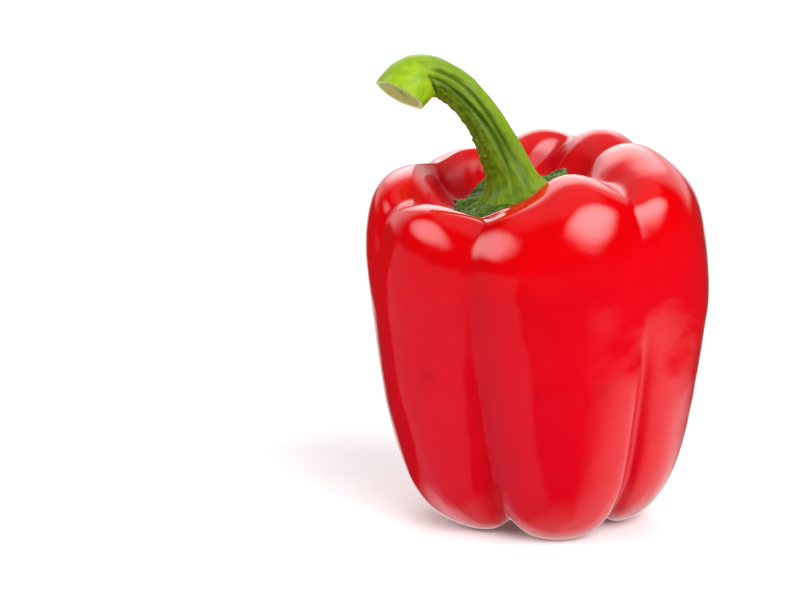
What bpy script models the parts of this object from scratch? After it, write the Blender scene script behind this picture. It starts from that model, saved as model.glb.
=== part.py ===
"""Bell pepper standing on its four feet: one lobed fruit, the calyx in its well and the bent stem."""
import bmesh
import bpy
import numpy as np

# Lengths are in millimetres and angles in degrees. Azimuths run from the front (-Y) towards +X.
MM = 0.001

# Where the fruit's own axis and lowest foot lie in the shared frame.
AXIS_SHIFT = (0.28, -0.06, -0.38)

# Swellings round the fruit: azimuth, crest height, crest radius, shoulder, belly, foot bulge, foot rise.
SWELLINGS = (
    (-98, 89.6, 31.0, 1.4, -0.6, -0.8, 0.2),
    (-52, 85.6, 33.5, 0.5, -0.6, 0.0, 0.5),
    (-16, 86.2, 30.0, 0.7, -0.8, 0.0, 0.1),
    (20, 93.2, 26.5, 0.6, -0.5, 1.0, -0.1),
    (50, 94.4, 24.5, 2.4, -0.4, 0.7, 0.0),
    (78, 95.2, 23.0, -1.6, -0.3, 0.4, 0.0),
    (112, 93.0, 25.0, -1.6, -0.1, 0.4, 0.0),
    (142, 96.4, 28.5, -0.5, 0.0, 0.0, -0.4),
    (170, 94.6, 27.0, 0.0, 0.0, 0.0, 0.0),
    (200, 91.6, 28.0, 0.0, 0.0, 0.0, 0.2),
    (220, 90.8, 29.5, 0.5, 0.0, 0.0, 0.2),
)
SWELLING_SHARPNESS = 18.0

# The side from the dimple in the base up to the belly: radius, height, share of foot and belly bulge.
LOWER_PROFILE = (
    (0.0, 9.0, 0.0, 0.0),
    (6.0, 8.0, 0.0, 0.0),
    (12.0, 4.0, 0.5, 0.0),
    (17.0, 0.0, 1.0, 0.0),
    (22.0, -1.2, 1.0, 0.2),
    (28.0, 2.0, 1.0, 0.4),
    (33.2, 9.5, 1.0, 0.6),
    (36.9, 20.0, 0.6, 0.8),
    (39.6, 33.0, 0.3, 1.0),
    (41.6, 47.0, 0.1, 1.0),
    (42.8, 60.0, 0.0, 1.0),
)
# The shoulder up to the crest: radius past the crest's, height from it, shoulder share, crest radius share.
SHOULDER_PROFILE = (
    (12.0, -20.0, 0.4, 0.15),
    (10.4, -9.5, 1.0, 0.25),
    (6.6, -2.2, 1.0, 0.7),
    (0.0, 1.6, 0.0, 1.0),
)
CREST_RADIUS = 31.0
# The wall of the well: radius, height as a share of crest above floor, share of the well's offset,
# share of the crest radius.
WELL_WALL = (
    (25.4, 0.93, 0.45, 1.0),
    (19.0, 0.62, 0.8, 0.35),
    (15.4, 0.15, 1.0, 0.0),
)
WELL_FLOOR_RADII = (10.8, 5.4, 0.0)
WELL_CENTRE = (-6.0, -1.0)
WELL_FLOOR_HEIGHT = 79.6
WELL_TILT = 14.0
WELL_TILT_AZIMUTH = -65.0

# Steps along the profile, from the base dimple to the middle of the well.
LAST_STEP = 20
FOOT_STEP = 3.85
CREST_STEP = 14.0
BASE_FADE = 2.0
WELL_FADE = 19.0

# Grooves between the lobes. Each row is a place along the profile and the groove there:
# step, azimuth, depth, half-width in degrees.
GROOVE_ROWS = {
    "front_left": (
        (0, -19, 0.0, 30), (2, -19, 3.0, 25), (4, -19, 5.0, 10), (7, -22, 4.6, 14), (9.5, -25, 3.6, 12),
        (11.6, -26, 3.2, 10), (13, -26, 4.0, 10), (14, -27, 5.4, 13), (16, -30, 4.0, 17),
        (18.2, -30, 0.0, 20),
    ),
    "front_right": (
        (0, 44, 0.0, 30), (2, 44, 3.0, 25), (4, 44, 5.5, 10), (7, 40, 3.4, 6), (8.7, 38, 2.7, 5),
        (10, 36.5, 1.6, 8), (12, 34.5, 3.4, 10), (14, 36, 6.0, 12), (16, 39, 5.0, 17), (18.2, 40, 0.0, 20),
    ),
    "right_back": (
        (0, 118, 0.0, 30), (2, 118, 3.0, 25), (4, 118, 5.5, 12), (7, 118, 3.2, 9), (9.5, 118, 1.4, 12),
        (12, 118, 2.2, 14), (14, 118, 5.5, 13), (16, 118, 6.0, 16), (18.2, 118, 0.0, 20),
    ),
    "left_back": (
        (0, 234, 0.0, 30), (2, 234, 3.0, 25), (4, 234, 5.5, 12), (7, 234, 3.2, 9), (9.5, 234, 1.4, 12),
        (12, 234, 2.2, 14), (14, 234, 4.6, 15), (16, 234, 4.4, 19), (18.2, 234, 0.0, 20),
    ),
    "left_shoulder": (
        (0, -72, 0.0, 20), (7, -72, 0.0, 12), (9.5, -72, 0.2, 12), (12, -72, 2.6, 12),
        (14, -72, 5.2, 14), (16, -72, 4.6, 18), (18.2, -72, 0.0, 20),
    ),
    "back_middle": (
        (0, 158, 0.0, 20), (2, 158, 1.0, 20), (4, 158, 1.6, 12), (7, 158, 0.8, 11), (9.5, 158, 0.5, 11),
        (12, 158, 1.4, 11), (14, 158, 4.2, 11), (16, 158, 4.6, 13), (18.2, 158, 0.0, 20),
    ),
    "back_shoulder": (
        (0, 200, 0.0, 20), (7, 200, 0.0, 12), (9.5, 200, 0.3, 11), (12, 200, 1.2, 11),
        (14, 200, 3.6, 11), (16, 200, 4.2, 13), (18.2, 200, 0.0, 20),
    ),
}
GROOVE_ROUNDING = 0.25

# Gap between parts that touch.
GAP = 0.3

# The calyx lies on the floor of the well and turns up along its wall.
CALYX_THICKNESS = 2.0
CALYX_MARGIN_THICKNESS = 0.9
CALYX_MARGIN_LIFT = 0.5
CALYX_MARGIN_STEP = 17.1
CALYX_SEPALS = 6
CALYX_SEPAL_STEP = 0.3
CALYX_SEPAL_AZIMUTH = 20.0

# The stem from its foot to the cut end: centre x, y, z, lean of the section, width, depth.
STEM_SECTIONS = (
    (-5.9, -0.9, 82.4, 13, 15.2, 15.0),
    (-6.5, -1.0, 84.8, 14, 13.0, 13.0),
    (-7.6, -1.0, 88.0, 17, 11.7, 11.8),
    (-9.6, -1.0, 92.4, 22, 11.0, 10.8),
    (-12.3, -1.0, 98.0, 27, 9.8, 10.0),
    (-15.5, -1.0, 102.7, 39, 9.3, 9.6),
    (-19.2, -1.0, 107.0, 59, 9.4, 9.6),
    (-23.0, -1.1, 109.8, 78, 9.6, 10.0),
    (-26.4, -1.5, 111.2, 100, 10.9, 11.0),
    (-29.6, -2.4, 111.2, 124, 12.1, 12.0),
    (-31.9, -3.8, 109.8, 142, 12.7, 12.6),
    (-34.2, -6.0, 107.2, 150, 12.9, 12.8),
)
# The end of the stem turns towards the front over these sections.
STEM_END_TURN = 22.0
STEM_TURN_START = 7.0
STEM_TURN_LENGTH = 4.0
STEM_RIBS = 6
STEM_RIB_HEIGHT = 0.35
STEM_END_HOLLOW = 0.6
STEM_END_RIM = 0.8

# Mesh density.
FRUIT_SIDES = 96
FRUIT_RINGS = 37
# How much closer together vertices lie near the grooves, the feet and the crest, and over what width.
GROOVE_CROWDING = 1.2
GROOVE_CROWDING_WIDTH = 11.0
RING_CROWDING = 0.8
FOOT_CROWDING = 2.0 * RING_CROWDING
RING_CROWDING_WIDTH = 1.2
CROWDING_SAMPLES = 1441
CALYX_RINGS = 6
STEM_SIDES = 36
STEM_RINGS = 30

# Material colours are linear: red, green, blue, roughness.
FRUIT_LOOK = (0.66, 0.004, 0.008, 0.16)
CALYX_LOOK = (0.035, 0.10, 0.015, 0.55)
STEM_LOOK = (0.16, 0.30, 0.022, 0.45)


def compass(azimuth):
    """X and Y of a unit step outward at an azimuth in radians."""
    return np.sin(azimuth), -np.cos(azimuth)


def swelling_blend(column, azimuth):
    """A swelling's value, blended smoothly between neighbours."""
    centres = np.radians([row[0] for row in SWELLINGS])
    values = np.array([row[column] for row in SWELLINGS])
    weights = np.exp(SWELLING_SHARPNESS * (np.cos(azimuth[:, None] - centres) - 1.0))
    return (weights * values).sum(axis=1) / weights.sum(axis=1)


def well_floor(x, y):
    """Height of the tilted floor of the well."""
    east, south = compass(np.radians(WELL_TILT_AZIMUTH))
    downhill = (x - WELL_CENTRE[0]) * east + (y - WELL_CENTRE[1]) * south
    return WELL_FLOOR_HEIGHT - np.tan(np.radians(WELL_TILT)) * downhill


def control_points(azimuth):
    """Profile control points for each azimuth, as an array of step, axis, azimuth."""
    blended = [swelling_blend(column, azimuth) for column in range(1, len(SWELLINGS[0]))]
    crest_z, crest_r, shoulder, belly, foot, foot_rise = blended
    east, south = compass(azimuth)
    points = []
    for radius, height, foot_share, belly_share in LOWER_PROFILE:
        reach = radius + foot * foot_share + belly * belly_share
        points.append((reach * east, reach * south, height + foot_rise * foot_share))
    for beyond, height, shoulder_share, crest_share in SHOULDER_PROFILE:
        reach = CREST_RADIUS + beyond + (crest_r - CREST_RADIUS) * crest_share + shoulder * shoulder_share
        points.append((reach * east, reach * south, crest_z + height))
    for radius, rise, offset, crest_share in WELL_WALL:
        reach = radius + (crest_r - CREST_RADIUS) * crest_share
        x = reach * east + WELL_CENTRE[0] * offset
        y = reach * south + WELL_CENTRE[1] * offset
        floor = well_floor(x, y)
        points.append((x, y, floor + rise * (crest_z - floor)))
    for radius in WELL_FLOOR_RADII:
        x = radius * east + WELL_CENTRE[0]
        y = radius * south + WELL_CENTRE[1]
        points.append((x, y, well_floor(x, y)))
    return np.array(points)


def smooth_curve(points, steps):
    """Positions and directions on a cubic B-spline through the control points, at the given steps."""
    before = points[1].copy()
    before[:2] = 2.0 * points[0][:2] - points[1][:2]
    after = 2.0 * points[-1] - points[-2]
    padded = np.concatenate([before[None], points, after[None]])
    start = np.minimum(steps.astype(int), len(points) - 2)
    part = (steps - start).reshape((-1,) + (1,) * (points.ndim - 1))
    place = (
        (1 - part) ** 3 / 6,
        (3 * part ** 3 - 6 * part ** 2 + 4) / 6,
        (-3 * part ** 3 + 3 * part ** 2 + 3 * part + 1) / 6,
        part ** 3 / 6,
    )
    slope = (
        -(1 - part) ** 2 / 2,
        (9 * part ** 2 - 12 * part) / 6,
        (-9 * part ** 2 + 6 * part + 3) / 6,
        part ** 2 / 2,
    )
    position = sum(weight * padded[start + index] for index, weight in enumerate(place))
    direction = sum(weight * padded[start + index] for index, weight in enumerate(slope))
    return position, direction


def eased(steps, places, values):
    """Values between places, easing in and out at each."""
    places = np.array(places, float)
    values = np.array(values, float)
    index = np.clip(np.searchsorted(places, steps, side="right") - 1, 0, len(places) - 2)
    part = np.clip((steps - places[index]) / (places[index + 1] - places[index]), 0.0, 1.0)
    part = part * part * (3.0 - 2.0 * part)
    return values[index] * (1.0 - part) + values[index + 1] * part


def groove_depth(azimuth, steps):
    """How deep the grooves cut at each step and azimuth."""
    depth = np.zeros((len(steps), len(azimuth)))
    for rows in GROOVE_ROWS.values():
        places = [row[0] for row in rows]
        centre = np.radians(eased(steps, places, [row[1] for row in rows]))[:, None]
        deepest = eased(steps, places, [row[2] for row in rows])[:, None]
        width = np.radians(eased(steps, places, [row[3] for row in rows]))[:, None]
        turn = azimuth[None] - centre
        away = np.arctan2(np.sin(turn), np.cos(turn)) / width
        rounded = np.sqrt(away * away + GROOVE_ROUNDING ** 2) - GROOVE_ROUNDING
        depth += deepest * np.exp(-rounded)
    return depth * eased(steps, (0, BASE_FADE, WELL_FADE, LAST_STEP), (0, 1, 1, 0))[:, None]


def fruit_surface(azimuth, steps):
    """Points on the fruit's skin and the outward normal of its profile: step, axis, azimuth."""
    position, direction = smooth_curve(control_points(azimuth), steps)
    east, south = compass(azimuth)
    run = direction[:, 0] * east + direction[:, 1] * south
    rise = direction[:, 2]
    length = np.hypot(run, rise) + 1e-9
    outward = np.stack([rise / length * east, rise / length * south, -run / length], axis=1)
    return position - outward * groove_depth(azimuth, steps)[:, None], outward


def crowded(low, high, count, centres, width):
    """Values from low to high, closer together near the centres, given as pairs of centre and crowding."""
    fine = np.linspace(low, high, CROWDING_SAMPLES)
    density = np.ones_like(fine)
    for centre, crowding in centres:
        density += crowding * np.exp(-((fine - centre) / width) ** 2)
    travelled = np.concatenate([[0.0], np.cumsum((density[1:] + density[:-1]) / 2)])
    return np.interp(np.linspace(0.0, travelled[-1], count), travelled, fine)


def fruit_azimuths():
    """Azimuths around the fruit, closer together near the grooves."""
    grooves = [np.mean([row[1] for row in rows]) for rows in GROOVE_ROWS.values()]
    centres = [(groove + turn, GROOVE_CROWDING) for groove in grooves for turn in (-360, 0, 360)]
    return np.radians(crowded(-180, 180, FRUIT_SIDES + 1, centres, GROOVE_CROWDING_WIDTH)[:-1])


def fruit_steps():
    """Steps along the fruit's profile, closer together at the feet and over the crest."""
    centres = ((FOOT_STEP, FOOT_CROWDING), (CREST_STEP, RING_CROWDING))
    return crowded(0, LAST_STEP, FRUIT_RINGS + 2, centres, RING_CROWDING_WIDTH)


def in_frame(points):
    """Points of the fruit's own axes moved to the shared frame, in metres."""
    return (np.asarray(points) + np.array(AXIS_SHIFT)) * MM


def closed_mesh(name, first_pole, rings, last_pole):
    """A closed object from rings of points with a pole at each end."""
    sides = len(rings[0])
    points = np.concatenate([[first_pole], *rings, [last_pole]])
    last = len(points) - 1
    faces = []
    for side in range(sides):
        following = (side + 1) % sides
        faces.append((0, 1 + following, 1 + side))
        faces.append((last, last - sides + side, last - sides + following))
    for ring in range(len(rings) - 1):
        low = 1 + ring * sides
        high = low + sides
        for side in range(sides):
            following = (side + 1) % sides
            faces.append((low + side, low + following, high + following, high + side))
    mesh = bpy.data.meshes.new(name)
    mesh.from_pydata([tuple(point) for point in points], [], faces)
    bm = bmesh.new()
    bm.from_mesh(mesh)
    bmesh.ops.recalc_face_normals(bm, faces=bm.faces)
    bm.to_mesh(mesh)
    bm.free()
    part = bpy.data.objects.new(name, mesh)
    bpy.context.scene.collection.objects.link(part)
    return part


def finish_part(part, look):
    """Smooth shading and a material of the part's own."""
    for polygon in part.data.polygons:
        polygon.use_smooth = True
    material = bpy.data.materials.new(part.name + "_material")
    material.use_nodes = True
    shader = material.node_tree.nodes["Principled BSDF"]
    shader.inputs["Base Color"].default_value = (look[0], look[1], look[2], 1.0)
    shader.inputs["Roughness"].default_value = look[3]
    shader.inputs["Metallic"].default_value = 0.0
    material.diffuse_color = (look[0], look[1], look[2], 1.0)
    part.data.materials.append(material)


def build_fruit():
    """The fruit, with each foot flattened where it stands."""
    azimuth = fruit_azimuths()
    steps = fruit_steps()
    skin = in_frame(fruit_surface(azimuth, steps)[0].transpose(0, 2, 1))
    skin[:, :, 2] = np.maximum(skin[:, :, 2], 0.0)
    fruit = closed_mesh("pepper_body", skin[0, 0], list(skin[1:-1]), skin[-1, 0])
    finish_part(fruit, FRUIT_LOOK)


def well_normal():
    """Upward normal of the tilted floor of the well."""
    east, south = compass(np.radians(WELL_TILT_AZIMUTH))
    tilt = np.radians(WELL_TILT)
    return np.array([np.sin(tilt) * east, np.sin(tilt) * south, np.cos(tilt)])


def calyx_margin(azimuth):
    """Step along the fruit's profile that the calyx reaches at each azimuth."""
    waves = np.cos(CALYX_SEPALS * (azimuth - np.radians(CALYX_SEPAL_AZIMUTH)))
    return CALYX_MARGIN_STEP - CALYX_SEPAL_STEP * waves


def build_calyx():
    """The calyx: a thin dish on the floor of the well, with a flat seat for the stem."""
    azimuth = fruit_azimuths()
    margin = calyx_margin(azimuth)
    shares = np.linspace(0.0, 1.0, CALYX_RINGS + 1)[:-1]
    under = []
    upper = []
    for share in shares:
        steps = margin + (LAST_STEP - margin) * share
        here = np.array([column_point(azimuth[index:index + 1], steps[index:index + 1])
                         for index in range(len(azimuth))])
        skin, outward = here[:, 0], here[:, 1]
        thick = CALYX_MARGIN_THICKNESS + (CALYX_THICKNESS - CALYX_MARGIN_THICKNESS) * min(share * 2.0, 1.0)
        lift = GAP + CALYX_MARGIN_LIFT * (1.0 - share) ** 2
        under.append(in_frame(skin + outward * lift))
        upper.append(in_frame(skin + outward * (lift + thick)))
    seat = np.array([WELL_CENTRE[0], WELL_CENTRE[1], WELL_FLOOR_HEIGHT])
    low_pole = in_frame(seat + well_normal() * GAP)
    high_pole = in_frame(seat + well_normal() * (GAP + CALYX_THICKNESS))
    calyx = closed_mesh("calyx", low_pole, under[::-1] + upper, high_pole)
    finish_part(calyx, CALYX_LOOK)


def column_point(azimuth, step):
    """One point on the fruit's skin and its outward normal."""
    skin, outward = fruit_surface(azimuth, step)
    return skin[0, :, 0], outward[0, :, 0]


def stem_rings(count, sides):
    """Rings of points around the stem from its foot to the cut end."""
    sections = np.array(STEM_SECTIONS, float)
    places = np.linspace(0.0, len(sections) - 1.0, count)
    rows, _ = smooth_curve(sections[:, :, None], places)
    rows = rows[:, :, 0]
    rows[0] = sections[0]
    turn = np.linspace(0.0, 2.0 * np.pi, sides, endpoint=False)
    rings = []
    for place, (x, y, z, lean, width, depth) in zip(places, rows):
        lean = np.radians(lean)
        end = np.clip((place - STEM_TURN_START) / STEM_TURN_LENGTH, 0.0, 1.0)
        yaw = np.radians(STEM_END_TURN) * end
        across = np.array([np.cos(lean), 0.0, np.sin(lean)])
        along = np.array([-np.sin(lean), 0.0, np.cos(lean)])
        deep = np.cos(yaw) * np.array([0.0, 1.0, 0.0]) + np.sin(yaw) * along
        ribs = 1.0 + STEM_RIB_HEIGHT / width * 2.0 * np.cos(STEM_RIBS * turn)
        ring = np.outer(np.cos(turn) * ribs * width / 2.0, across)
        ring += np.outer(np.sin(turn) * ribs * depth / 2.0, deep)
        rings.append(ring + np.array([x, y, z]))
    return rings


def build_stem():
    """The stem: a ribbed stalk that bends over and ends in a flat cut."""
    rings = stem_rings(STEM_RINGS, STEM_SIDES)
    foot = np.mean(rings[0], axis=0)
    normal = well_normal()
    seat = np.array([WELL_CENTRE[0], WELL_CENTRE[1], WELL_FLOOR_HEIGHT])
    seat = seat + normal * (GAP + CALYX_THICKNESS + GAP)
    rings[0] = rings[0] - np.outer((rings[0] - seat) @ normal, normal)
    foot = foot - normal * ((foot - seat) @ normal)
    end = np.mean(rings[-1], axis=0)
    inward = np.mean(rings[-2], axis=0) - end
    inward = inward / np.linalg.norm(inward)
    hollow = end + (rings[-1] - end) * STEM_END_RIM + inward * STEM_END_HOLLOW
    rows = [in_frame(ring) for ring in rings] + [in_frame(hollow)]
    stem = closed_mesh("stem", in_frame(foot), rows, in_frame(end + inward * STEM_END_HOLLOW))
    finish_part(stem, STEM_LOOK)


def main():
    for old in list(bpy.data.objects):
        bpy.data.objects.remove(old, do_unlink=True)
    build_fruit()
    build_calyx()
    build_stem()


main()
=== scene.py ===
"""Looks of the bell pepper: the fruit's waxy skin, its calyx and its stem, in a soft white studio."""
import math

import bpy
import numpy as np
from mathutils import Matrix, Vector
from mathutils.bvhtree import BVHTree


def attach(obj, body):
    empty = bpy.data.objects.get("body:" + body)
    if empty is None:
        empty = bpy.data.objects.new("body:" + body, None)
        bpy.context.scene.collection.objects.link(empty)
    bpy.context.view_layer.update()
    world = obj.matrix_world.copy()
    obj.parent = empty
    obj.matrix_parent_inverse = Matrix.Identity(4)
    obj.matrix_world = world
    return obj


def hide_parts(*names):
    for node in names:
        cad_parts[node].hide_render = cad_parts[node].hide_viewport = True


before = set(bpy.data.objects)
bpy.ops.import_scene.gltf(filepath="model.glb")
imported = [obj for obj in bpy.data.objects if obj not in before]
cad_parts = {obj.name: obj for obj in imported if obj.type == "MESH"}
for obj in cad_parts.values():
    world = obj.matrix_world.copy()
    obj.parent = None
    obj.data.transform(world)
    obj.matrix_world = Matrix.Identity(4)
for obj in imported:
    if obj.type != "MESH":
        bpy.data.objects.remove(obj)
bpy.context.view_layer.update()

# Lengths in the tables are in millimetres and angles in degrees. Azimuths run from the front (-Y) towards +X.
MM = 0.001

# Where the fruit's own axis and lowest foot lie in the shared frame.
AXIS_SHIFT = (0.28, -0.06, -0.38)

# Swellings round the fruit: azimuth, crest height, crest radius, shoulder, belly, foot bulge, foot rise.
SWELLINGS = (
    (-98, 89.6, 31.0, 1.4, -0.6, -0.8, 0.2),
    (-52, 85.6, 33.5, 0.5, -0.6, 0.0, 0.5),
    (-16, 86.2, 30.0, 0.7, -0.8, 0.0, 0.1),
    (20, 93.2, 26.5, 0.6, -0.5, 1.0, -0.1),
    (50, 94.4, 24.5, 2.4, -0.4, 0.7, 0.0),
    (78, 95.2, 23.0, -1.6, -0.3, 0.4, 0.0),
    (112, 93.0, 25.0, -1.6, -0.1, 0.4, 0.0),
    (142, 96.4, 28.5, -0.5, 0.0, 0.0, -0.4),
    (170, 94.6, 27.0, 0.0, 0.0, 0.0, 0.0),
    (200, 91.6, 28.0, 0.0, 0.0, 0.0, 0.2),
    (220, 90.8, 29.5, 0.5, 0.0, 0.0, 0.2),
)
SWELLING_SHARPNESS = 18.0

# The side from the dimple in the base up to the belly: radius, height, share of foot and belly bulge.
LOWER_PROFILE = (
    (0.0, 9.0, 0.0, 0.0),
    (6.0, 8.0, 0.0, 0.0),
    (12.0, 4.0, 0.5, 0.0),
    (17.0, 0.0, 1.0, 0.0),
    (22.0, -1.2, 1.0, 0.2),
    (28.0, 2.0, 1.0, 0.4),
    (33.2, 9.5, 1.0, 0.6),
    (36.9, 20.0, 0.6, 0.8),
    (39.6, 33.0, 0.3, 1.0),
    (41.6, 47.0, 0.1, 1.0),
    (42.8, 60.0, 0.0, 1.0),
)
# The shoulder up to the crest: radius past the crest's, height from it, shoulder share, crest radius share.
SHOULDER_PROFILE = (
    (12.0, -20.0, 0.4, 0.15),
    (10.4, -9.5, 1.0, 0.25),
    (6.6, -2.2, 1.0, 0.7),
    (0.0, 1.6, 0.0, 1.0),
)
CREST_RADIUS = 31.0
# The wall of the well: radius, height as a share of crest above floor, share of the well's offset,
# share of the crest radius.
WELL_WALL = (
    (25.4, 0.93, 0.45, 1.0),
    (19.0, 0.62, 0.8, 0.35),
    (15.4, 0.15, 1.0, 0.0),
)
WELL_FLOOR_RADII = (10.8, 5.4, 0.0)
WELL_CENTRE = (-6.0, -1.0)
WELL_FLOOR_HEIGHT = 79.6
WELL_TILT = 14.0
WELL_TILT_AZIMUTH = -65.0

# Steps along the profile, from the base dimple to the middle of the well.
LAST_STEP = 20
FOOT_STEP = 3.85
CREST_STEP = 14.0
BASE_FADE = 2.0
WELL_FADE = 19.0

# Grooves between the lobes. Each row is a place along the profile and the groove there:
# step, azimuth, depth, half-width in degrees.
GROOVE_ROWS = {
    "front_left": (
        (0, -19, 0.0, 30), (2, -19, 3.0, 25), (4, -19, 5.0, 10), (7, -22, 4.6, 14), (9.5, -25, 3.6, 12),
        (11.6, -26, 3.2, 10), (13, -26, 4.0, 10), (14, -27, 5.4, 13), (16, -30, 4.0, 17),
        (18.2, -30, 0.0, 20),
    ),
    "front_right": (
        (0, 44, 0.0, 30), (2, 44, 3.0, 25), (4, 44, 5.5, 10), (7, 40, 3.4, 6), (8.7, 38, 2.7, 5),
        (10, 36.5, 1.6, 8), (12, 34.5, 3.4, 10), (14, 36, 6.0, 12), (16, 39, 5.0, 17), (18.2, 40, 0.0, 20),
    ),
    "right_back": (
        (0, 118, 0.0, 30), (2, 118, 3.0, 25), (4, 118, 5.5, 12), (7, 118, 3.2, 9), (9.5, 118, 1.4, 12),
        (12, 118, 2.2, 14), (14, 118, 5.5, 13), (16, 118, 6.0, 16), (18.2, 118, 0.0, 20),
    ),
    "left_back": (
        (0, 234, 0.0, 30), (2, 234, 3.0, 25), (4, 234, 5.5, 12), (7, 234, 3.2, 9), (9.5, 234, 1.4, 12),
        (12, 234, 2.2, 14), (14, 234, 4.6, 15), (16, 234, 4.4, 19), (18.2, 234, 0.0, 20),
    ),
    "left_shoulder": (
        (0, -72, 0.0, 20), (7, -72, 0.0, 12), (9.5, -72, 0.2, 12), (12, -72, 2.6, 12),
        (14, -72, 5.2, 14), (16, -72, 4.6, 18), (18.2, -72, 0.0, 20),
    ),
    "back_middle": (
        (0, 158, 0.0, 20), (2, 158, 1.0, 20), (4, 158, 1.6, 12), (7, 158, 0.8, 11), (9.5, 158, 0.5, 11),
        (12, 158, 1.4, 11), (14, 158, 4.2, 11), (16, 158, 4.6, 13), (18.2, 158, 0.0, 20),
    ),
    "back_shoulder": (
        (0, 200, 0.0, 20), (7, 200, 0.0, 12), (9.5, 200, 0.3, 11), (12, 200, 1.2, 11),
        (14, 200, 3.6, 11), (16, 200, 4.2, 13), (18.2, 200, 0.0, 20),
    ),
}
# How round the bottom of a groove is, as a share of its half-width, and how many times rounder at the crest.
GROOVE_ROUNDING = 0.25
CREST_ROUNDING = 1.5
ROUNDING_STEPS = (0, 11.5, 13.5, LAST_STEP)

# A feature that comes in between the first two places of four and goes out between the last two.
IN_AND_OUT = (0, 1, 1, 0)

# Unevenness of the skin as height and wavelength, calm in the base dimple and under the calyx.
BROAD_WAVES = (0.22, 26.0)
FINE_WAVES = (0.03, 9.0)
UNEVEN_STEPS = (0, 1.5, 16.5, 17.5)
# Faint ribs inside the back of the well: height, wavelength, the circle they run along, lean per step.
RIB_HEIGHT = 0.26
RIB_WAVELENGTH = 5.5
RIB_CIRCLE = 25.0
RIB_LEAN = 0.4
RIB_AZIMUTH = 160.0
RIB_SPREAD = 55.0
RIB_STEPS = (14.2, 15.6, 16.8, 17.4)

# The calyx: its gap to the fruit, its thickness, and how far and where its margin lifts off.
GAP = 0.3
CALYX_THICKNESS = 2.0
CALYX_MARGIN_THICKNESS = 0.9
CALYX_MARGIN_LIFT = 0.5
CALYX_MARGIN_STEP = 17.3
CALYX_EDGE_SHARE = 0.04
# Its sepals: azimuth, reach along the profile, half-width in degrees, curl of the tip away from the fruit.
SEPALS = (
    (20, 0.40, 13, 0.5),
    (76, 0.45, 15, 0.4),
    (126, 0.50, 15, 0.5),
    (-148, 0.50, 12, 3.0),
    (-94, 0.35, 13, 1.0),
    (-50, 0.30, 14, 1.0),
)
SEPAL_REACH, SEPAL_WIDTH, SEPAL_CURL = 1, 2, 3
SEPAL_RIB_HEIGHT = 0.5
SEPAL_RIB_SHARPNESS = 3.0
SEPAL_USUAL_WIDTH = 14.0
# Notches in the margin and wrinkles on top, each as height and wavelength.
NOTCHES = ((0.10, 5.0, 11), (0.06, 2.2, 12))
NOTCH_CIRCLE = 14.0
WRINKLES = ((0.16, 1.5, 14), (0.10, 0.8, 15))
# Folds from the stem out to the margin: height, wavelength, the circle they run along, drift inward.
FOLD_HEIGHT = 0.40
FOLD_WAVELENGTH = 3.4
FOLD_CIRCLE = 13.0
FOLD_DRIFT = (1.5, 0.0, 2.0)
FOLD_FADE = 0.6

# The stem from its foot to the cut end: centre x, y, z, lean of the section, width, depth.
STEM_SECTIONS = (
    (-5.9, -0.9, 82.4, 13, 15.2, 15.0),
    (-6.5, -1.0, 84.8, 14, 13.0, 13.0),
    (-7.6, -1.0, 88.0, 17, 11.7, 11.8),
    (-9.6, -1.0, 92.4, 22, 11.0, 10.8),
    (-12.3, -1.0, 98.0, 27, 9.8, 10.0),
    (-15.5, -1.0, 102.7, 39, 9.3, 9.6),
    (-19.2, -1.0, 107.0, 59, 9.4, 9.6),
    (-23.0, -1.1, 109.8, 78, 9.6, 10.0),
    (-26.4, -1.5, 111.2, 100, 10.9, 11.0),
    (-29.6, -2.4, 111.2, 124, 12.1, 12.0),
    (-31.9, -3.8, 109.8, 142, 12.7, 12.6),
    (-34.2, -6.0, 107.2, 150, 12.9, 12.8),
)
# The end of the stem turns towards the front over these sections.
STEM_END_TURN = 22.0
STEM_TURN_START = 7.0
STEM_TURN_LENGTH = 4.0
# The foot flares by this share over the lowest sections and sinks a little into the calyx.
FLARE = 0.26
FLARE_SECTIONS = 1.9
FOOT_SINK = 0.05
RAY_START = 0.02

# Furrows along the stem: turn around the section, depth, half-width in degrees, first and last section.
# Turn 0 is the outer side of the bend, -90 the front and 180 the inner side.
STEM_FURROWS = (
    (-90, 0.85, 9, 2.2, 8.6),
    (-62, 0.80, 7, 2.6, 8.2),
    (-112, 0.35, 8, 3.4, 8.8),
    (-132, 0.55, 9, 2.4, 8.4),
    (-158, 0.40, 9, 2.0, 8.0),
    (-28, 0.18, 12, 1.6, 7.0),
    (14, 0.30, 12, 1.0, 7.6),
    (52, 0.60, 11, 1.2, 8.2),
    (92, 0.70, 10, 1.0, 8.4),
    (136, 0.55, 10, 1.4, 8.2),
    (172, 0.35, 10, 2.0, 8.0),
)
FURROW_ROUNDING = 0.3
FURROW_WANDER = 3.0
FURROW_PITCH = 1.1
FURROW_START = 0.25
# Sections over which a furrow comes in, around its first section, and goes out, around its last.
FURROW_EASE = (1.2, 1.0, 0.9, 0.7)
# The crease under the knob: depth, section, slant, half-width in sections, turn, half-width in radians.
CREASE_DEPTH = 0.5
CREASE_SECTION = 8.35
CREASE_SLANT = 0.3
CREASE_LENGTH = 0.2
CREASE_TURN = -118.0
CREASE_SPREAD = 0.75
# Streaks along the rind, warts inside the bend and lumps on the knob, each as height and wavelength.
STREAKS = (0.09, 1.5)
STREAK_CIRCLE = 5.0
STREAK_DRIFT = 0.35
KNOB_STREAK_LOSS = 0.75
WARTS = (0.19, 1.9)
WART_TURN = 190.0
WART_SPREAD = 62.0
WART_SECTIONS = (1.5, 3, 7.4, 8.4)
LUMPS = (0.16, 5.0)
KNOB_SECTIONS = (7.6, 9.2)
# The toes where the foot meets the calyx: how many, height, where the first one is, sections they rise over.
TOES = 6.0
TOE_HEIGHT = 0.35
TOE_START = 0.8
TOE_SECTIONS = 2.4
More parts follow.
